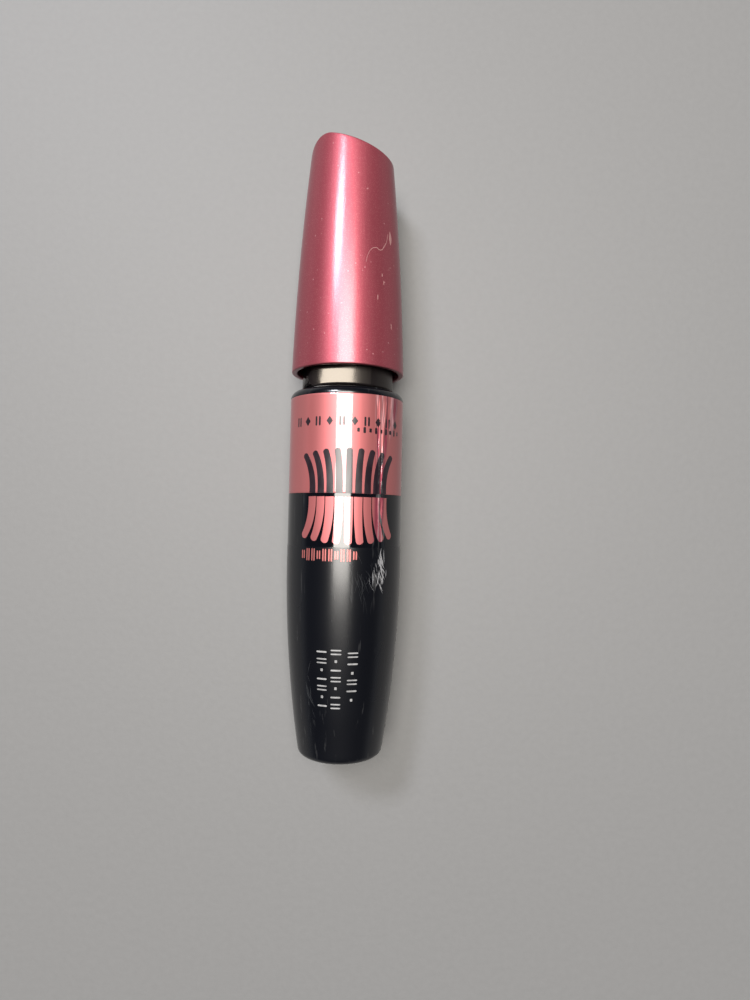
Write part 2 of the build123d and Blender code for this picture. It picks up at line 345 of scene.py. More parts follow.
class Finish:
    """A procedural material built from nodes. A value that is the same all over the surface is set
    on the shader's own socket."""

    def __init__(self, name, **sockets):
        self.material = bpy.data.materials.new(name)
        self.material.use_nodes = True
        self.tree = self.material.node_tree
        self.shader = self.tree.nodes["Principled BSDF"]
        for socket, value in sockets.items():
            self.shader.inputs[socket.replace("_", " ")].default_value = value
        self.point = self.node("TexCoord").outputs["Object"]

    def node(self, kind, **values):
        """Adds a node and sets its properties and inputs, by name; an output links."""
        node = self.tree.nodes.new("ShaderNode" + kind)
        for key, value in values.items():
            if hasattr(node, key):
                setattr(node, key, value)
            else:
                self.feed(node.inputs[key.replace("_", " ")], value)
        return node

    def feed(self, socket, value):
        """Links an output to a socket, or sets the socket's own value."""
        if isinstance(value, bpy.types.NodeSocket):
            self.tree.links.new(value, socket)
        else:
            socket.default_value = value

    def sum(self, operation, *values):
        """A Math node's result."""
        node = self.node("Math", operation=operation)
        for socket, value in zip(node.inputs, values):
            self.feed(socket, value)
        return node.outputs[0]

    def noise(self, scale, detail=2.0, stretch=(1, 1, 1), roughness=0.5, distortion=0.0):
        """A noise's value, from 0 to 1, with its grain drawn out where stretch is under 1."""
        spread = self.node("Mapping", Vector=self.point, Scale=stretch)
        return self.node(
            "TexNoise",
            Vector=spread.outputs[0],
            Scale=scale,
            Detail=detail,
            Roughness=roughness,
            Distortion=distortion,
        ).outputs["Fac"]

    def cells(self, scale):
        """The distance to the nearest of many scattered points."""
        return self.node("TexVoronoi", Vector=self.point, Scale=scale).outputs["Distance"]

    def step(self, value, low, high, to_low=0.0, to_high=1.0):
        """Value from low to high, made to run smoothly from to_low to to_high."""
        return self.node(
            "MapRange",
            interpolation_type="SMOOTHSTEP",
            Value=value,
            From_Min=low,
            From_Max=high,
            To_Min=to_low,
            To_Max=to_high,
        ).outputs[0]

    def blend(self, factor, first, second):
        """A colour between two."""
        node = self.node("Mix", data_type="RGBA")
        for index, value in ((0, factor), (6, first), (7, second)):
            self.feed(node.inputs[index], value)
        return node.outputs[2]

    def height(self):
        """How far a point is above the tube's base, in millimetres."""
        along = self.node("SeparateXYZ", Vector=self.point).outputs["Y"]
        return self.sum("MULTIPLY_ADD", along, 1 / MM, -BASE_Y)

    def turn(self):
        """How far round the axis a point is from the upper side, in degrees."""
        parts = self.node("SeparateXYZ", Vector=self.point).outputs
        up = self.sum("SUBTRACT", parts["Z"], AXIS_Z * MM)
        return self.sum("MULTIPLY", self.sum("ARCTAN2", parts["X"], up), math.degrees(1))

    def bump(self, *layers):
        """Layers of (height from 0 to 1, depth in millimetres), stacked into the normal."""
        normal = None
        for value, depth in layers:
            node = self.node("Bump", Height=value, Distance=depth * MM)
            if normal:
                self.feed(node.inputs["Normal"], normal)
            normal = node.outputs[0]
        self.feed(self.shader.inputs["Normal"], normal)
        self.feed(self.shader.inputs["Coat Normal"], normal)

    def set(self, **sockets):
        """Feeds the shader's sockets, by name."""
        for socket, value in sockets.items():
            self.feed(self.shader.inputs[socket.replace("_", " ")], value)


def grey(value):
    return (value, value, value, 1)


def scratches(finish, scale, stretch, low=0.62, high=0.7):
    """Sparse fine lines drawn out along the tube."""
    return finish.step(finish.noise(scale, 3.0, stretch, 0.6), low, high)


def lacquer_finish():
    """Rose pearl lacquer: a metallic base full of fine flakes, a clear coat, and dust on it."""
    f = Finish(
        "rose_pearl_lacquer",
        Metallic=0.7,
        Specular_Tint=(0.45, 0.22, 0.32, 1),
        Coat_Weight=0.75,
        Coat_Roughness=0.2,
    )
    flakes = f.cells(5200)
    drift = f.noise(55, 2.0, (1, 0.35, 1))
    rose = f.blend(drift, (0.285, 0.056, 0.076, 1), (0.34, 0.069, 0.090, 1))
    rose = f.blend(f.step(flakes, 0.0, 0.42, 0.55, 0.0), rose, (0.52, 0.20, 0.20, 1))
    specks = f.step(f.cells(900), 0.06, 0.12, 1.0, 0.0)
    patches = f.step(f.noise(160, 1.0), 0.5, 0.56)
    dust = f.sum("MULTIPLY", specks, patches)
    rose = f.blend(f.sum("MULTIPLY", dust, 0.5), rose, (0.70, 0.42, 0.42, 1))
    f.set(Base_Color=rose)
    rub = f.noise(300, 3.0, (1, 0.12, 1))
    rough = f.step(rub, 0.35, 0.75, 0.44, 0.51)
    f.set(Roughness=f.sum("ADD", rough, f.sum("MULTIPLY", dust, 0.3)))
    f.bump((flakes, 0.007), (f.noise(700, 2.0), 0.002), (scratches(f, 900, (1, 0.03, 1)), 0.003))
    return f.material


def foil_finish():
    """Hot-stamped rose foil: a bright metal skin with fine draw lines and creases, with painted
    shade in the creases' folds.
    """
    f = Finish(
        "rose_foil",
        Metallic=0.72,
        Specular_Tint=(0.60, 0.32, 0.44, 1),
        Coat_Weight=1.0,
        Coat_Roughness=0.045,
    )
    drift = f.noise(120, 2.0, (1, 0.2, 1))
    rose = f.blend(drift, (0.44, 0.133, 0.134, 1), (0.50, 0.156, 0.156, 1))
    creased = crease_zone(f)
    folded = f.noise(950, 2.0, (1, 0.05, 1), 0.55, 0.3)
    # painted shade: the folds of the creases are darkened in the colour
    shaded = f.sum("MULTIPLY", f.step(folded, 0.41, 0.53), creased)
    rose = f.blend(shaded, rose, (0.26, 0.050, 0.075, 1))
    rubbed = f.sum("MULTIPLY", scratches(f, 1500, (1, 0.05, 1), 0.5, 0.62), creased)
    rose = f.blend(f.sum("MULTIPLY", rubbed, 0.6), rose, (0.80, 0.46, 0.48, 1))
    f.set(Base_Color=rose)
    rough = f.step(f.noise(420, 3.0, (1, 0.08, 1)), 0.3, 0.75, 0.47, 0.55)
    f.set(Roughness=f.sum("ADD", rough, f.sum("MULTIPLY", creased, 0.06)))
    folds = f.sum("MULTIPLY", folded, creased)
    f.bump(
        (f.noise(260, 2.0, (1, 0.3, 1)), 0.006),
        (f.noise(1700, 2.0, (1, 0.06, 1)), 0.003),
        (folds, 0.06),
    )
    return f.material


def crease_zone(f):
    """1 where the side was rubbed and creased, on the upper right, fading to 0 round it."""
    turn = f.turn()
    past = f.sum("SUBTRACT", turn, f.step(f.height(), 48, 58, 44, 62))
    return f.sum("MULTIPLY", f.step(turn, 29, 34), f.step(past, -3, 4, 1.0, 0.0))


def gloss_black_finish():
    """Gloss black moulded plastic with scuffs and hairline scratches. The printed film below the
    foil is shinier, and the shoulder above it duller."""
    f = Finish("gloss_black_bottle", Coat_Weight=0.12, Coat_Roughness=0.12)
    smear = f.noise(60, 3.0, (1, 0.35, 1), 0.6)
    hair = scratches(f, 1300, (1, 0.06, 1), 0.64, 0.7)
    scuffed = f.sum("MULTIPLY", crease_zone(f), f.step(f.height(), 24, 33))
    worn = f.sum("MULTIPLY", scratches(f, 1100, (1, 0.12, 0.6), 0.55, 0.66), scuffed)
    marks = f.sum("MAXIMUM", f.sum("MULTIPLY", hair, 0.03), f.sum("MULTIPLY", worn, 0.16))
    black = f.blend(smear, (0.0012, 0.0015, 0.0028, 1), (0.0028, 0.0032, 0.005, 1))
    f.set(Base_Color=f.blend(marks, black, grey(0.42)))
    haze = f.step(smear, 0.3, 0.75, 0.25, 0.34)
    filmed = f.step(f.height(), FILM_START - 0.1, FILM_START + 0.1, 1.0, 0.22)
    dulled = f.step(f.height(), FOIL_END, FOIL_END + 0.1, 0.0, 0.14)
    rough = f.sum("ADD", f.sum("MULTIPLY", haze, filmed), dulled)
    f.set(Roughness=f.sum("ADD", rough, f.sum("MULTIPLY", marks, 0.5)))
    f.bump((f.noise(320, 2.0), 0.002), (hair, 0.003), (worn, 0.02))
    return f.material


def liner_finish():
    """Polished black liner, with flow lines round the tube and a shallow sink on its upper left."""
    f = Finish("gloss_black_liner", Specular_Tint=(1.0, 0.9, 0.78, 1), Specular_IOR_Level=0.6)
    flow = f.noise(200, 3.0, (0.3, 1, 0.3))
    turn = f.turn()
    f.set(Base_Color=f.blend(flow, (0.003, 0.0025, 0.003, 1), (0.007, 0.005, 0.006, 1)))
    f.set(Roughness=f.sum("ADD", f.step(turn, -12, 34, 0.09, 0.34), f.sum("MULTIPLY", flow, 0.08)))
    sink_end, flat_end = -60, 32  # turns where the shallow sink and the flatter part end
    sink_depth, flat_depth = 0.00050, 0.00015
    off_middle = f.sum("SUBTRACT", f.height(), SKIRT_MIDDLE)
    edge = f.sum("MULTIPLY_ADD", f.sum("MULTIPLY", off_middle, off_middle), 5, sink_end)
    edge = f.sum("MULTIPLY_ADD", f.noise(520, 3.0, (1, 1.6, 1)), 9, edge)
    left = f.sum("MINIMUM", f.sum("MAXIMUM", turn, edge), 0)
    right = f.sum("MINIMUM", f.sum("MAXIMUM", turn, 0), flat_end)
    sink = f.sum("MULTIPLY", f.sum("MULTIPLY", left, left), sink_depth)
    flat = f.sum("MULTIPLY", f.sum("MULTIPLY", right, right), flat_depth)
    f.bump((f.sum("ADD", sink, flat), 2.0), (f.noise(260, 2.0, (1, 0.6, 1)), 0.06))
    return f.material


def stem_finish():
    """Satin black stem, smeared with paste towards its lower end."""
    f = Finish("satin_black_stem", IOR=1.5)
    smear = f.noise(420, 4.0, (1, 0.4, 1), 0.6)
    low = f.step(f.height(), STEM_BOTTOM + 12, STEM_BOTTOM + 30, 1.0, 0.0)
    paste = f.step(f.sum("ADD", smear, f.sum("MULTIPLY", low, 0.22)), 0.56, 0.66)
    f.set(Base_Color=f.blend(paste, (0.022, 0.021, 0.022, 1), (0.005, 0.0045, 0.005, 1)))
    f.set(Roughness=f.step(paste, 0.0, 1.0, 0.42, 0.2))
    f.bump((paste, 0.05), (f.noise(2000, 2.0), 0.004))
    return f.material


def wiper_finish():
    """Milky soft polyethylene, stained where paste has been wiped off."""
    f = Finish("natural_wiper", IOR=1.5, Subsurface_Weight=0.25, Subsurface_Scale=0.001)
    stain = f.step(f.noise(520, 4.0, (1, 0.7, 1), 0.6), 0.46, 0.6)
    f.set(Base_Color=f.blend(stain, (0.62, 0.61, 0.59, 1), (0.03, 0.028, 0.03, 1)))
    f.set(Roughness=f.step(stain, 0.0, 1.0, 0.38, 0.22))
    f.bump((stain, 0.04))
    return f.material


def wire_finish():
    """Drawn stainless wire with dried paste in its twists."""
    f = Finish("twisted_steel_wire", Metallic=0.9)
    paste = f.step(f.noise(1500, 3.0), 0.42, 0.6)
    f.set(Base_Color=f.blend(paste, grey(0.42), grey(0.012)))
    f.set(Roughness=f.step(paste, 0.0, 1.0, 0.28, 0.45))
    f.bump((f.noise(6000, 2.0, (0.2, 1, 0.2)), 0.004), (paste, 0.03))
    return f.material


def fibre_finish():
    """Black nylon fibres, wet with paste in places."""
    f = Finish("nylon_fibres", IOR=1.5)
    wet = f.step(f.noise(700, 3.0), 0.4, 0.62)
    f.set(Base_Color=f.blend(wet, (0.020, 0.017, 0.017, 1), (0.005, 0.004, 0.005, 1)))
    f.set(Roughness=f.step(wet, 0.0, 1.0, 0.5, 0.22))
    f.bump((f.noise(9000, 2.0), 0.01))
    return f.material


def paste_finish():
    """Thick wet black paste."""
    f = Finish("mascara_paste_black", IOR=1.45)
    lumps = f.noise(380, 4.0, (1, 1, 1), 0.6)
    f.set(Base_Color=f.blend(lumps, (0.003, 0.003, 0.0035, 1), (0.012, 0.010, 0.011, 1)))
    f.set(Roughness=f.step(lumps, 0.3, 0.7, 0.16, 0.34))
    f.bump((lumps, 0.25), (f.noise(2200, 3.0), 0.03))
    return f.material


def ink_finish(name, light, dark, metallic, rough):
    """A thin print: worn a little, with the sheen of what it lies on."""
    f = Finish(name, Metallic=metallic, Coat_Weight=0.2, Coat_Roughness=0.1)
    wear = f.noise(900, 3.0, (1, 0.3, 1), 0.6)
    f.set(Base_Color=f.blend(f.step(wear, 0.35, 0.7), light, dark))
    f.set(Roughness=f.step(wear, 0.3, 0.75, rough, rough + 0.1))
    creased = crease_zone(f)
    folds = f.sum("MULTIPLY", f.noise(900, 2.0, (1, 0.045, 1), 0.55, 0.3), creased)
    f.bump((f.noise(1700, 2.0, (1, 0.06, 1)), 0.003), (folds, 0.06))
    return f.material


def mark_finish(name, colour, rough):
    """A scratch's exposed, torn surface; the rose one also colours a painted highlight on the cap's
    edge.
    """
    f = Finish(name)
    torn = f.noise(4000, 3.0, (1, 0.3, 1))
    dark = tuple(value * 0.6 for value in colour[:3]) + (1,)
    f.set(Base_Color=f.blend(torn, dark, colour))
    f.set(Roughness=f.step(torn, 0.2, 0.8, rough, rough + 0.2))
    f.bump((torn, 0.02))
    return f.material


lacquer = lacquer_finish()
foil = foil_finish()
gloss_black = gloss_black_finish()
liner = liner_finish()
stem_black = stem_finish()
wiper_milk = wiper_finish()
wire_steel = wire_finish()
fibre_black = fibre_finish()
paste_black = paste_finish()
black_ink = ink_finish("black_print", (0.008, 0.004, 0.007, 1), (0.015, 0.008, 0.012, 1), 0.0, 0.32)
rose_ink = ink_finish("rose_print", (0.50, 0.158, 0.146, 1), (0.44, 0.135, 0.125, 1), 0.7, 0.46)
white_ink = ink_finish("white_print", grey(0.27), grey(0.16), 0.0, 0.5)
pale_mark = mark_finish("torn_white", (0.30, 0.30, 0.31, 1), 0.35)
dim_mark = mark_finish("rubbed_grey", (0.022, 0.024, 0.027, 1), 0.4)
# the rose finish colours the cap's scratches and also a painted highlight along the cap's slanted
# edge
rose_mark_and_edge_highlight = mark_finish("rubbed_rose_and_edge_highlight", (0.38, 0.19, 0.185, 1), 0.5)


# --- bottle and foil --------------------------------------

CREASES = (  # (turn at the shoulder, turn lower down, lowest height, half-width in degrees, height)
    (32, 34.5, 47, 0.9, -0.055),
    (35.5, 36.2, 33, 0.8, 0.080),
    (39.5, 38.4, 32, 0.8, -0.070),
    (43.5, 40.3, 35, 0.7, 0.075),
    (47, 42.4, 46, 0.9, -0.060),
    (51.5, 44.5, 48, 0.9, 0.065),
    (56, 46.5, 50, 1.0, -0.050),
    (60, 48.5, 51, 1.0, 0.055),
)
CREASE_GATHER = 50.0  # height where the creases have drawn together
CREASE_FADE = 4.0


def crease(s, turn):
    """How far the creased strip stands out at a point of the bottle's side."""
    turn = (turn + 180) % 360 - 180
    if s > FOIL_END or not 25 < turn < 68:
        return 0
    down = min(1, (FOIL_END - s) / (FOIL_END - CREASE_GATHER))
    down = down * down * (3 - 2 * down)
    out = 0
    for top, low, end, width, height in CREASES:
        fade = min(1, max(0, (s - end) / CREASE_FADE))
        wander = 0.9 * noise(Vector((top, s * 0.4, 0)))
        away = (turn - top - (low - top) * down - wander) / width
        out += height * fade * math.exp(-away * away)
    return out * min(1, (FOIL_END - s) / 1.2)


def side_r(s, turn):
    """The bottle's outer radius, foil and creases included."""
    return tube_side_r(min(s, FOIL_END)) + crease(s, turn)


def bottle_outline():
    """The bottle's section: up the outside from the base, and down the inside."""
    side_centre = (BODY_R - TAPER_R, TAPER_END)
    corner_out = math.sqrt((TAPER_R - BASE_ROUND) ** 2 - (TAPER_END - BASE_ROUND) ** 2)
    corner = (side_centre[0] + corner_out, BASE_ROUND)
    lean = -math.degrees(math.asin((TAPER_END - BASE_ROUND) / (TAPER_R - BASE_ROUND)))
    inside_r, recess_r = BODY_R - WALL, BODY_R - FOIL_THICKNESS
    outside = [(0, 0)] + run((0, 0), (corner[0], 0), 4)
    outside += arc(corner, BASE_ROUND, -90, lean, 12)[1:]
    outside += arc(side_centre, TAPER_R, lean, 0, 60)[1:]
    outside += run(outside[-1], (BODY_R, FOIL_START), 30)
    outside += [(recess_r, FOIL_START), (recess_r, FOIL_END), (BODY_R, FOIL_END)]
    shoulder_r = BODY_R - SHOULDER_ROUND
    outside += arc((shoulder_r, FOIL_END), SHOULDER_ROUND, 0, 90, 14)[1:]
    outside += run(outside[-1], (NECK_R + EDGE, SHOULDER_TOP), 3)
    outside += arc((NECK_R + EDGE, SHOULDER_TOP + EDGE), EDGE, 270, 180, 5)[1:]
    outside += run(outside[-1], (NECK_R, NECK_TOP - EDGE), 10)
    outside += arc((NECK_R - EDGE, NECK_TOP - EDGE), EDGE, 0, 90, 5)[1:]
    round_r = inside_r - INSIDE_ROUND
    inside = [(BORE_R, NECK_TOP), (BORE_R, INSIDE_TOP), (round_r, INSIDE_TOP)]
    inside += arc((round_r, INSIDE_TOP - INSIDE_ROUND), INSIDE_ROUND, 90, 0, 5)[1:]
    inside += [(inside_r, TAPER_END)]
    narrowing, rise = inside_r - FLOOR_R, TAPER_END - FLOOR
    inner_radius = (narrowing**2 + rise**2) / (2 * narrowing)
    inner_lean = -math.degrees(math.asin(rise / inner_radius))
    inside += arc((inside_r - inner_radius, TAPER_END), inner_radius, 0, inner_lean, 12)[1:]
    inside += [(0, FLOOR)]
    return outside + inside


def bottle_shape(r, s, turn):
    """Creases show on the black below the foil too."""
    on_side = s < FOIL_START - 0.01 and r > tube_side_r(s) - 0.01
    return r + crease(s, turn) if on_side else r


def make_bottle():
    """The hollow bottle with its neck and thread."""
    body = lathe(bottle_outline(), shape=bottle_shape, turns=CREASED_TURNS)
    ridge = thread_ridge(NECK_R - 0.1, NECK_R + THREAD_DEPTH, THREAD_START)
    mesh = merged(body, ridge)
    new_piece("bottle_shell", *mesh, gloss_black, "bottle_plastic", "bottle_body", ("bottle",))


def foil_outline():
    """The foil band's section, its edges turned in a little."""
    low, high = FOIL_START, FOIL_END
    inner_r = BODY_R - FOIL_THICKNESS
    outline = [(inner_r, high), (inner_r, low), (BODY_R - 0.02, low), (BODY_R, low + 0.03)]
    outline += run((BODY_R, low + 0.03), (BODY_R, high - 0.03), 60)
    return outline + [(BODY_R - 0.02, high)]


def foil_shape(r, s, turn):
    """Creases stand out on the foil's outside only."""
    return r + crease(s, turn) if r > BODY_R - 0.05 else r


def make_foil():
    """The foil band, set flush into the bottle."""
    mesh = lathe(foil_outline(), shape=foil_shape, turns=CREASED_TURNS)
    new_piece("foil_sleeve", *mesh, foil, "foil", "bottle_body", ("foil_band",), crease=60)


# --- prints and marks -------------------------------------

PRINT_LIFT = 0.016
PRINT_SINK = 0.05  # how deep a print reaches into its surface
ACROSS_STEP = 0.13  # widest facet of a print across its stroke


def stroke(path, widths):
    """A grid of (across, s) points along a path, as wide at each point as widths says."""
    columns = max(2, math.ceil(max(widths) / ACROSS_STEP))
    grid = []
    for i, (point, width) in enumerate(zip(path, widths)):
        ahead, behind = Vector(path[min(i + 1, len(path) - 1)]), Vector(path[max(i - 1, 0)])
        along = (ahead - behind).normalized()
        side = Vector((-along.y, along.x))
        grid.append(
            [tuple(Vector(point) + side * width * (j / columns - 0.5)) for j in range(columns + 1)]
        )
    return grid


def dash(across, s, width, height):
    """A plain upright bar with softened ends."""
    steps = 6
    path = [(across, s - height / 2 + height * i / steps) for i in range(steps + 1)]
    widths = [width * (0.8 if i in (0, steps) else 1) for i in range(steps + 1)]
    return stroke(path, widths)


def decal(grids, radius, lift=PRINT_LIFT, per_turn=BODY_R):
    """Closed thin solids over a surface, one for each grid of (distance round, s) points.
    A distance round is measured where the radius is per_turn."""
    verts, faces = [], []
    for grid in grids:
        rows, columns, first = len(grid), len(grid[0]), len(verts)
        for level in (lift, -PRINT_SINK):
            for row in grid:
                for across, s in row:
                    turn = math.degrees(across / per_turn)
                    verts.append(place(radius(s, turn) + level, s, turn))

        def at(level, i, j):
            return first + (level * rows + i) * columns + j

        for i in range(rows - 1):
            for j in range(columns - 1):
                for level, way in ((0, 1), (1, -1)):
                    corners = [(i, j), (i, j + 1), (i + 1, j + 1), (i + 1, j)][::way]
                    faces.append([at(level, *corner) for corner in corners])
        rim = [(0, j) for j in range(columns)] + [(i, columns - 1) for i in range(1, rows)]
        rim += [(rows - 1, j) for j in range(columns - 2, -1, -1)]
        rim += [(i, 0) for i in range(rows - 2, 0, -1)]
        for here, there in zip(rim, rim[1:] + rim[:1]):
            faces.append([at(0, *here), at(1, *here), at(1, *there), at(0, *there)])
    return verts, faces


PRINT_CENTRE = 1.0  # distance round from the top to the middle of the front print
PRINT_HALF = 7.0
LASHES = 9
LASH_BOW = 0.75
LASH_BLUNT = 0.85  # a lash's width at its tip over that at its foot
UPPER_TIPS = 50.0
LOWER_TIPS = 34.9
SHOULDER_ROW = 54.2
SECOND_ROW = 52.85
SMALL_ROW = 33.25
CODE_WIDTH = 1.75
CODE_PITCH = 1.42
CODE_COLUMNS = (  # (distance round, height of the lowest mark, marks from there upwards)
    (-2.95, 9.7, "-.=-.=-"),
    (-0.5, 9.7, "=-.=-.="),
    (2.3, 10.7, ".-=.-="),
)


def lash_fan(foot, tip, bow, thick, blunt):
    """A fan of curved strokes with round ends, from a line at height foot out to height tip.
    The outer lashes lean out and are shorter."""
    steps = 60
    grids = []
    for lash in range(LASHES):
        lean = 2 * lash / (LASHES - 1) - 1
        start = PRINT_CENTRE + PRINT_HALF * 0.86 * lean
        reach = tip - (tip - foot) * 0.13 * lean**2
        end = (PRINT_CENTRE + PRINT_HALF * lean + bow * lean, reach)
        pull = (start - 0.25 * bow * lean, foot + 0.62 * (reach - foot))
        path = curve((start, foot), pull, end, steps)
        widths = []
        for i in range(steps + 1):
            wide = thick * (1 - (1 - blunt) * (i / steps) ** 1.5)
            left = min(1, 2 * abs(reach - foot) * (1 - i / steps) / wide)
            widths.append(wide * math.sqrt(max(0.02, 1 - (1 - left) ** 2)))
        grids.append(stroke(path, widths))
    return grids


def top_row():
    """Double ticks and lozenges by turns near the shoulder, and a row of ticks below."""
    grids = []
    for i in range(10):
        across = -8.2 + 1.98 * i
        if i % 2:
            path = [(across, SHOULDER_ROW + 0.35 * k) for k in (-2, -1, 0, 1, 2)]
            grids.append(stroke(path, [0.06, 0.55, 1.05, 0.55, 0.06]))
        else:
            grids += [dash(across + side, SHOULDER_ROW, 0.32, 1.45) for side in (-0.3, 0.3)]
    for i in range(9):
        grids.append(dash(2.3 + i, SECOND_ROW, 0.42, 0.95 if i % 2 else 0.62))
    return grids


def small_row():
    """A short row of double bars under the lower fan."""
    grids = []
    for i in range(10):
        across, tall = -6.55 + 0.97 * i, 1.9 if i % 3 else 1.3
        grids += [dash(across + side, SMALL_ROW, 0.22, tall) for side in (-0.2, 0.2)]
    return grids


def code_columns():
    """Three columns of dots, dashes and double dashes where a batch mark would be."""
    grids = []
    for across, bottom, pattern in CODE_COLUMNS:
        for i, kind in enumerate(pattern):
            s = bottom + CODE_PITCH * i
            if kind == "-":
                grids.append(dash(across, s, CODE_WIDTH, 0.26))
            elif kind == ".":
                grids.append(dash(across, s, 0.42, 0.42))
            else:
                grids += [dash(across, s + side, CODE_WIDTH, 0.22) for side in (0.3, -0.3)]
    return grids


def make_prints():
    """The prints, each a thin piece of its own."""
    upper = lash_fan(FOIL_START + 0.02, UPPER_TIPS, LASH_BOW, 1.12, LASH_BLUNT)
    lower = lash_fan(FOIL_START - 0.55, LOWER_TIPS, LASH_BOW, 1.36, LASH_BLUNT)
    for name, grids, ink, slot in (
        ("upper_lash_print", upper, black_ink, "bottle_plastic"),
        ("lower_lash_print", lower, foil, "foil"),
        ("shoulder_row_print", top_row(), black_ink, "bottle_plastic"),
        ("small_row_print", small_row(), rose_ink, "foil"),
        ("dash_code_print", code_columns(), white_ink, "wiper_rubber"),
    ):
        new_piece(name, *decal(grids, side_r), ink, slot, "bottle_body")


THINNEST = 0.012  # width of a sliver's ends
MARK_LIFT = 0.006
CAP_MARK_R = 8.6  # the cap's radius where it is scratched


def scratch_burst(seed, count, centre, spread, length, width):
    """Short tapered slivers scattered about a place, mostly along the tube."""
    steps = 8
    draw = random.Random(seed)
    grids = []
    for _ in range(count):
        across = centre[0] + draw.gauss(0, spread[0])
        s = centre[1] + draw.gauss(0, spread[1])
        long = length * draw.uniform(0.35, 1.2)
        slant = draw.gauss(-0.25, 0.28)
        bend = draw.uniform(-0.12, 0.12) * long
        start = (across - slant * long / 2, s - long / 2)
        end = (across + slant * long / 2, s + long / 2)
        path = curve(start, (across + bend, s), end, steps)
        wide = width * draw.uniform(0.4, 1.3)
        tapered = [wide * math.sin(math.pi * i / steps) for i in range(steps + 1)]
        grids.append(stroke(path, [max(THINNEST, each) for each in tapered]))
    return grids


def make_marks():
    """Wear: torn white slivers by the crease, dim rubs low on the bottle, and marks on the cap; and
    a painted highlight, a pale line along the cap's slanted edge.
    """
    burst = scratch_burst(3, 34, (6.9, 30.9), (0.42, 1.5), 1.9, 0.13)
    burst += scratch_burst(8, 16, (5.6, 29.4), (0.6, 0.9), 1.7, 0.05)
    mesh = decal(burst, side_r, MARK_LIFT)
    new_piece("torn_scratches", *mesh, pale_mark, "bottle_plastic", "bottle_body")
    rubs = scratch_burst(5, 16, (-5.6, 10.5), (0.35, 2.2), 2.2, 0.09)
    rubs += scratch_burst(6, 34, (3.4, 29), (1.6, 2.2), 2.4, 0.03)
    mesh = decal(rubs, side_r, MARK_LIFT)
    new_piece("dim_rubs", *mesh, dim_mark, "bottle_plastic", "bottle_body")

    def on_cap(s, turn):
        return cap_side_r(s)

    hair = curve((2.9, 79.7), (3.4, 82.5), (4.9, 82.4), 12)
    hair += curve((4.9, 82.4), (5.7, 81.7), (6.4, 83.1), 8)[1:]
    hair += curve((6.4, 83.1), (7.1, 83.8), (7.3, 85.3), 8)[1:]
    last = len(hair) - 1
    widths = [0.05 + 0.11 * math.sin(math.pi * i / last) * (i / last) for i in range(last + 1)]
    scuff = curve((7.95, 83.7), (8.1, 84.8), (7.9, 86.0), 8)
    scuff_widths = [0.05 + 0.62 * math.sin(math.pi * i / 8) for i in range(9)]
    nicks = (  # (distance round, height, width, length)
        (5.8, 78.1, 0.16, 0.5),
        (6.1, 76.9, 0.1, 0.7),
        (4.9, 74.3, 0.12, 0.8),
        (7.6, 70.1, 0.14, 0.9),
    )
    grids = [stroke(hair, widths), stroke(scuff, scuff_widths)]
    grids += [dash(*nick) for nick in nicks]
    mesh = decal(grids, on_cap, MARK_LIFT, per_turn=CAP_MARK_R)
    new_piece("cap_scratches", *mesh, rose_mark_and_edge_highlight, "cap_lacquer", "wand")
    # painted highlight: a thin pale rose line just inside the slanted top's edge
    painted_edge_highlight_path = []
    for k in range(121):
        turn = -62 + 154 * k / 120
        r, s = cap_corner(turn)
        painted_edge_highlight_path.append(off_axis(r - 0.075, s - 0.085, turn))
    rubbed = tube_along(painted_edge_highlight_path, lambda t: 0.035 + 0.03 * noise(Vector((t * 30, 0, 0))), 8)
    new_piece("cap_edge_painted_highlight", *rubbed, rose_mark_and_edge_highlight, "cap_lacquer", "wand")


# --- cap --------------------------------------------------

def crown_height(across):
    """The slanted top's height at a distance from the axis towards its low side."""
    fall = math.tan(math.radians(SLANT))
    rise = CROWN_R * (1 - math.cos(math.radians(SLANT)))
    plane_at_axis = LENGTH - rise + fall * CROWN_START
    if across > CROWN_START:
        return plane_at_axis - fall * across
    centre = CROWN_START - CROWN_R * math.sin(math.radians(SLANT))
    under = max(0, CROWN_R**2 - (across - centre) ** 2)
    return LENGTH - CROWN_R + math.sqrt(under)


def cap_corner(turn):
    """Where the side meets the slanted top at a turn, as (r, s)."""
    toward = math.cos(math.radians(turn - SLANT_TURN))
    low, high = RIM, LENGTH
    for _ in range(40):
        s = (low + high) / 2
        if crown_height(cap_side_r(s) * toward) > s:
            low = s
        else:
            high = s
    return cap_side_r(low), low


def cap_section(turn):
    """The cap's outer section at a turn, from the rim up the side and in over the top."""
    toward = math.cos(math.radians(turn - SLANT_TURN))
    r, s = cap_corner(turn)
    side_steps, edge_steps, top_steps = 64, 8, 22
    side_end = s - CAP_EDGE
    points = []
    for i in range(side_steps + 1):
        height = RIM + RIM_ROUND + (side_end - RIM - RIM_ROUND) * i / side_steps
        points.append((cap_side_r(height), height))
    on_top = (r - CAP_EDGE, crown_height((r - CAP_EDGE) * toward))
    points += curve(points[-1], (r, s), on_top, edge_steps)[1:-1]
    for i in range(top_steps):
        across = (r - CAP_EDGE) * (1 - i / top_steps)
        points.append((across, crown_height(across * toward)))
    return points


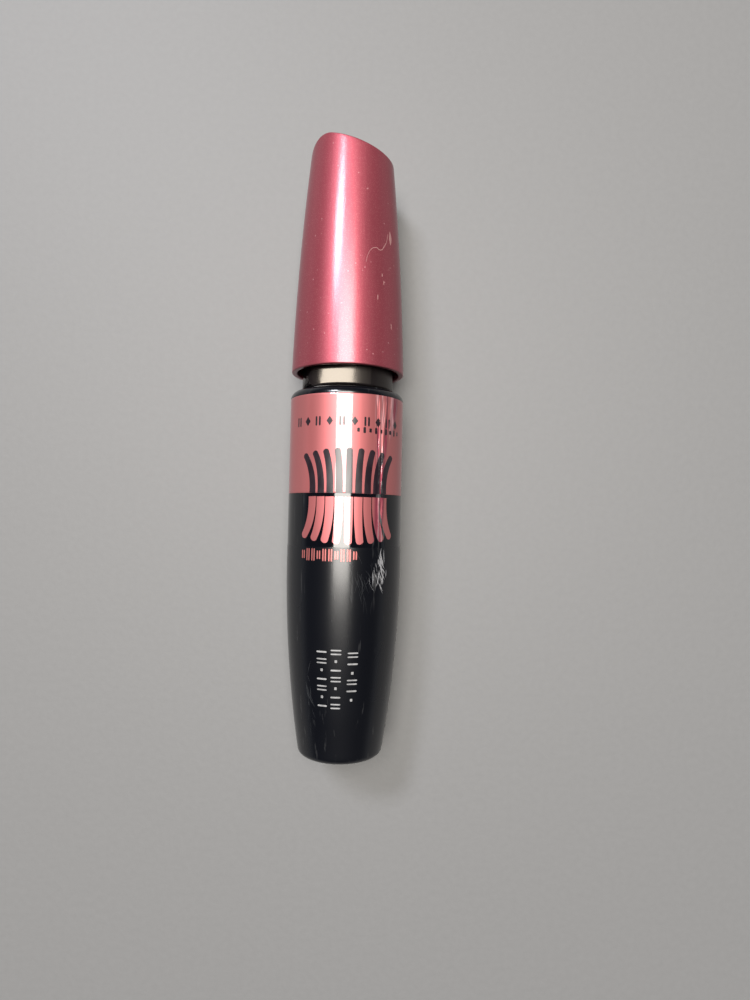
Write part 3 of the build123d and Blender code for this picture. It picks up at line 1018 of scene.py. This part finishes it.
def make_cap():
    """The outer cap: a bowed side, a slanted top rounded over its high edge, and a hollow."""
    around = 256
    rim_centre = (RIM_R - RIM_ROUND, RIM + RIM_ROUND)
    rim = arc(rim_centre, RIM_ROUND, -90, 0, 6)[:-1]
    inner = [(cavity_r(CAVITY_TOP), CAVITY_TOP), (cavity_r(RIM + RIM_ROUND), RIM + RIM_ROUND)]
    inner += arc((cavity_r(RIM) + RIM_ROUND, RIM + RIM_ROUND), RIM_ROUND, 180, 270, 5)[1:]
    verts, faces, columns = [], [], []
    for k in range(around):
        turn = 360 * k / around
        section = inner + rim + cap_section(turn)
        columns.append(range(len(verts), len(verts) + len(section)))
        verts += [place(r, s, turn) for r, s in section]
    tip, floor = len(verts), len(verts) + 1
    verts += [place(0, crown_height(0), 0), place(0, CAVITY_TOP, 0)]
    for here, there in zip(columns, columns[1:] + columns[:1]):
        for a, b, c, d in zip(here, here[1:], there[1:], there):
            faces.append([a, b, c, d])
        faces += [[here[-1], tip, there[-1]], [floor, here[0], there[0]]]
    new_piece("cap_outer", verts, faces, lacquer, "cap_lacquer", "wand", ("cap_shell",), crease=50)


def make_liner():
    """The black inner cap: skirt, thread, collar and ribs that grip the outer cap, stem socket."""
    outline = [(LINER_BORE_R, SKIRT_BOTTOM)]
    outline += arc((SKIRT_R - SKIRT_ROUND, SKIRT_BOTTOM + SKIRT_ROUND), SKIRT_ROUND, -90, 0, 8)
    outline += run(outline[-1], (SKIRT_R, COLLAR_BOTTOM), 12)
    outline += [(cavity_r(COLLAR_BOTTOM), COLLAR_BOTTOM), (cavity_r(CEILING_TOP), CEILING_TOP)]
    outline += [(SOCKET_R, CEILING_TOP), (SOCKET_R, SOCKET_TOP), (0, SOCKET_TOP), (0, STEM_TOP)]
    outline += [(STEM_R, STEM_TOP), (STEM_R, PLUG_BOTTOM), (SOCKET_R, PLUG_BOTTOM)]
    outline += [(SOCKET_R, CEILING_BOTTOM), (LINER_BORE_R, CEILING_BOTTOM)]
    parts = [lathe(outline)]
    parts.append(thread_ridge(LINER_BORE_R + 0.1, LINER_CREST_R, THREAD_START - PITCH / 2))
    half = math.degrees(RIB_WIDTH / 2 / SKIRT_R)
    for i in range(RIB_COUNT):
        middle = 90 - 360 * i / RIB_COUNT
        corners = []
        for turn in (middle - half, middle + half):
            for s in (RIB_BOTTOM, COLLAR_BOTTOM):
                for r in (SKIRT_R - 0.1, cavity_r(s)):
                    corners.append(place(r, s, turn))
        sides = [[0, 1, 3, 2], [4, 6, 7, 5], [0, 4, 5, 1], [2, 3, 7, 6], [1, 5, 7, 3], [0, 2, 6, 4]]
        parts.append((corners, sides))
    new_piece("cap_liner", *merged(*parts), liner, "cap_liner", "wand", ("inner_cap",))


# --- stem and brush ---------------------------------------

def make_stem():
    """The stem: a tapered nose, a snap ring in the liner, and a bore for the wire."""
    outline = [(WIRE_R, STEM_BOTTOM), (STEM_NOSE_R - 0.2, STEM_BOTTOM)]
    outline += arc((STEM_NOSE_R - 0.2, STEM_BOTTOM + 0.2), 0.2, -90, 0, 4)[1:]
    nose_top = STEM_BOTTOM + STEM_NOSE
    outline += [(STEM_R - 0.08, nose_top - 0.2), (STEM_R, nose_top + 0.1)]
    outline += run(outline[-1], (STEM_R, SNAP_HEIGHT - SNAP_LENGTH / 2), 40)
    outline += [(SNAP_R - 0.05, SNAP_HEIGHT - 0.1), (SNAP_R - 0.05, SNAP_HEIGHT + 0.1)]
    outline += [(STEM_R, SNAP_HEIGHT + SNAP_LENGTH / 2), (STEM_R, STEM_TOP), (0, STEM_TOP)]
    outline += [(0, WIRE_TOP), (WIRE_R, WIRE_TOP)]
    new_piece("wand_stem", *lathe(outline, 96), stem_black, "stem_plastic", "wand", ("stem",))


def make_wire():
    """Two steel wires twisted round each other."""
    parts = []
    length = WIRE_TOP - WIRE_TIP
    steps = int(length / TWIST_PITCH * 14)
    for phase in (0, 180):
        points = []
        for i in range(steps + 1):
            s = WIRE_TIP + STRAND_R + (length - STRAND_R) * i / steps
            points.append(off_axis(STRAND_R, s, phase + 360 * (s - WIRE_TIP) / TWIST_PITCH))
        parts.append(tube_along(points, lambda t: STRAND_R * min(1, 0.55 + 30 * t), 12))
    new_piece("twisted_wire", *merged(*parts), wire_steel, "wire", "wand", ("brush_wire",))


def brush_envelope(s):
    """How far the fibres reach from the axis at a height."""
    t = (s - BRUSH_BOTTOM) / (BRUSH_TOP - BRUSH_BOTTOM)
    return BRUSH_R * (0.48 + 0.52 * math.sin(math.pi * (0.06 + 0.80 * t)) ** 0.8)


def make_bristles():
    """Fibres held in the twist, so that they stand out in a double spiral, clumped with paste."""
    draw = random.Random(11)
    parts = []
    pairs = 620
    for i in range(pairs):
        s = BRUSH_BOTTOM + 0.3 + (BRUSH_TOP - BRUSH_BOTTOM - 0.6) * (i + draw.random()) / pairs
        spin = 360 * (s - WIRE_TIP) / TWIST_PITCH + 90
        for side in (0, 180):
            turn = spin + side + draw.gauss(0, 16)
            reach = brush_envelope(s) * draw.uniform(0.88, 1.0)
            rise = draw.gauss(0, 0.25)
            sweep = draw.gauss(0, 5)
            points = []
            for k in range(5):
                out = k / 4
                r = 0.2 + (reach - 0.2) * out
                points.append(off_axis(r, s + rise * out * out, turn + sweep * out * out))
            fat = draw.uniform(0.045, 0.075)
            parts.append(tube_along(points, lambda t, fat=fat: fat * (1.25 - 0.75 * t), 4))
    core = []
    for i in range(61):
        s = BRUSH_BOTTOM - 0.2 + (BRUSH_TOP - BRUSH_BOTTOM + 0.3) * i / 60
        swell = 0.35 + 0.35 * math.sin(math.pi * i / 60)
        core.append((WIRE_R + swell * (i not in (0, 60)), s))

    def lumpy(r, s, turn):
        angle = math.radians(turn)
        lump = noise(Vector((1.6 * math.cos(angle), s * 0.9, 1.6 * math.sin(angle))))
        return r if r < WIRE_R + 0.01 else r + 0.34 * lump

    middle = [(0, core[-1][1]), (0, core[0][1])]
    parts.append(lathe(core + middle, 40, lumpy))
    new_piece(
        "brush_fibres", *merged(*parts), fibre_black, "fibre", "wand", ("bristles",), crease=80
    )


# --- wiper and paste --------------------------------------

def make_wiper():
    """The wiper: a flange on the neck, a sleeve in its bore and a cone down to the orifice."""
    outline = [(ORIFICE_R, WIPER_BOTTOM + 0.05), (ORIFICE_R + 0.1, WIPER_BOTTOM)]
    outline += [(ORIFICE_R + LIP_WALL, WIPER_BOTTOM), (BORE_R - 0.02, WIPER_CONE_TOP)]
    outline += [(BORE_R - 0.02, NECK_TOP), (WIPER_FLANGE_R - 0.1, NECK_TOP)]
    outline += arc((WIPER_FLANGE_R - 0.2, WIPER_TOP - 0.2), 0.2, 0, 90, 4)
    outline += arc((WIPER_IN_R + 0.25, WIPER_TOP - 0.25), 0.25, 90, 180, 4)
    outline += run(outline[-1], (WIPER_IN_R, WIPER_CONE_TOP), 6)
    outline += run(outline[-1], (ORIFICE_R, WIPER_BOTTOM + 0.4), 8)
    mesh = lathe(outline, 128)
    new_piece("neck_wiper", *mesh, wiper_milk, "wiper_rubber", "bottle_body", ("wiper",))


def lumps(r, s, turn):
    """A paste surface's radius, uneven where it isn't against the wall."""
    angle = math.radians(turn)
    if r < 0.1:
        return r
    return r - LUMP + LUMP * noise(Vector((2 * math.cos(angle), s * 0.5, 2 * math.sin(angle))))


def make_paste():
    """The paste that lines the bottle, and the paste about the brush, which stays in the bottle."""
    wall_r = paste_high.x
    outline = [(0, PASTE_BOTTOM), (PASTE_FOOT_R, PASTE_BOTTOM)]
    steps = 14
    for i in range(1, steps + 1):
        s = PASTE_BOTTOM + (TAPER_END - PASTE_BOTTOM) * i / steps
        fall = (TAPER_END - s) / (TAPER_END - PASTE_BOTTOM)
        outline.append((wall_r - (wall_r - PASTE_FOOT_R) * fall**2, s))
    outline += [(wall_r, PASTE_LEVEL - 0.4), (wall_r - 0.4, PASTE_LEVEL)]
    outline += [(CHANNEL_R + 0.4, PASTE_LEVEL), (CHANNEL_R + LUMP, PASTE_LEVEL - 0.5)]
    outline += run(outline[-1], (CHANNEL_R + LUMP, COAT_BOTTOM - PASTE_GAP), 16)
    outline += [(WELL_R, COAT_BOTTOM - PASTE_GAP), (WELL_R, WELL_BOTTOM), (0, WELL_BOTTOM)]
    mesh = lathe(outline, 96, lumps)
    new_piece("paste_fill", *mesh, paste_black, "paste", "stirred_paste", ("mascara_paste",))
    inner = BRUSH_R + PASTE_GAP + LUMP
    tube = [(inner, COAT_BOTTOM), (COAT_R, COAT_BOTTOM)]
    tube += run((COAT_R, COAT_BOTTOM), (COAT_R, COAT_TOP), 16)
    tube += run((inner, COAT_TOP), (inner, COAT_BOTTOM + 1), 16)
    mesh = lathe(tube, 96, lumps)
    new_piece("paste_coat", *mesh, paste_black, "paste", "climbing_paste", ("brush_paste",))


make_bottle()
make_foil()
make_prints()
make_marks()
make_cap()
make_liner()
make_stem()
make_wire()
make_bristles()
make_wiper()
make_paste()


# --- stage, light and camera ------------------------------

def make_floor():
    """A plain pale table."""
    half = 12.0
    mesh = bpy.data.meshes.new("floor")
    mesh.from_pydata(
        [(-half, -half, 0), (half, -half, 0), (half, half, 0), (-half, half, 0)], [], [(0, 1, 2, 3)]
    )
    f = Finish("pale_table", Roughness=0.6)
    grain = f.noise(900, 3.0)
    f.set(Base_Color=f.blend(grain, grey(0.130), grey(0.144)))
    f.bump((grain, 0.02))
    mesh.materials.append(f.material)
    floor = bpy.data.objects.new("floor", mesh)
    bpy.context.scene.collection.objects.link(floor)


def area_light(name, at, size, power, colour, aim=(0, 0, 0.01)):
    """A soft rectangular light, placed in metres and turned to face a point."""
    data = bpy.data.lights.new(name, "AREA")
    data.shape = "RECTANGLE"
    data.size, data.size_y = size
    data.energy = power
    data.color = colour
    light = bpy.data.objects.new(name, data)
    light.location = at
    light.rotation_euler = (Vector(aim) - Vector(at)).to_track_quat("-Z", "Y").to_euler()
    bpy.context.scene.collection.objects.link(light)


def make_lights():
    """A small key from the upper left, a soft box overhead, and a dim room paler low down."""
    area_light(
        "key", at=(-1.06, 1.57, 2.20), size=(0.70, 0.42), power=66, colour=(0.90, 0.92, 1.0)
    )
    area_light(
        "soft_box",
        at=(-0.105, 0.476, 2.44),
        size=(1.36, 1.61),
        power=127,
        colour=(1.0, 0.96, 0.90),
        aim=(-0.105, 0.476, 0),
    )
    world = bpy.data.worlds.new("studio")
    world.use_nodes = True
    nodes, links = world.node_tree.nodes, world.node_tree.links
    direction = nodes.new("ShaderNodeTexCoord")
    parts = nodes.new("ShaderNodeSeparateXYZ")
    ramp = nodes.new("ShaderNodeMapRange")
    ramp.interpolation_type = "SMOOTHSTEP"
    glow = {"From Min": 0.0, "From Max": 0.28, "To Min": 0.34, "To Max": 0.035}
    for socket, value in glow.items():
        ramp.inputs[socket].default_value = value
    links.new(direction.outputs["Generated"], parts.inputs[0])
    links.new(parts.outputs["Z"], ramp.inputs["Value"])
    links.new(ramp.outputs[0], nodes["Background"].inputs["Strength"])
    nodes["Background"].inputs["Color"].default_value = (0.90, 0.94, 1.0, 1)
    bpy.context.scene.world = world


def make_camera():
    """Straight down on the tube, a little to the right of it, through a wide lens."""
    camera_at = (5.07, -11.9, AXIS_Z + 112.5)  # millimetres
    tilt, roll = 1.576, 1.196  # degrees
    data = bpy.data.cameras.new("camera")
    data.sensor_width = 36
    data.lens = 23.94
    data.clip_start = 0.005
    camera = bpy.data.objects.new("camera", data)
    camera.location = Vector(camera_at) * MM
    tilted = Euler((math.radians(tilt), 0, 0)).to_matrix()
    rolled = Euler((0, 0, math.radians(roll))).to_matrix()
    camera.rotation_euler = (tilted @ rolled).to_euler()
    bpy.context.scene.collection.objects.link(camera)
    bpy.context.scene.camera = camera


make_floor()
make_lights()
make_camera()
bpy.context.scene.view_settings.view_transform = "Standard"
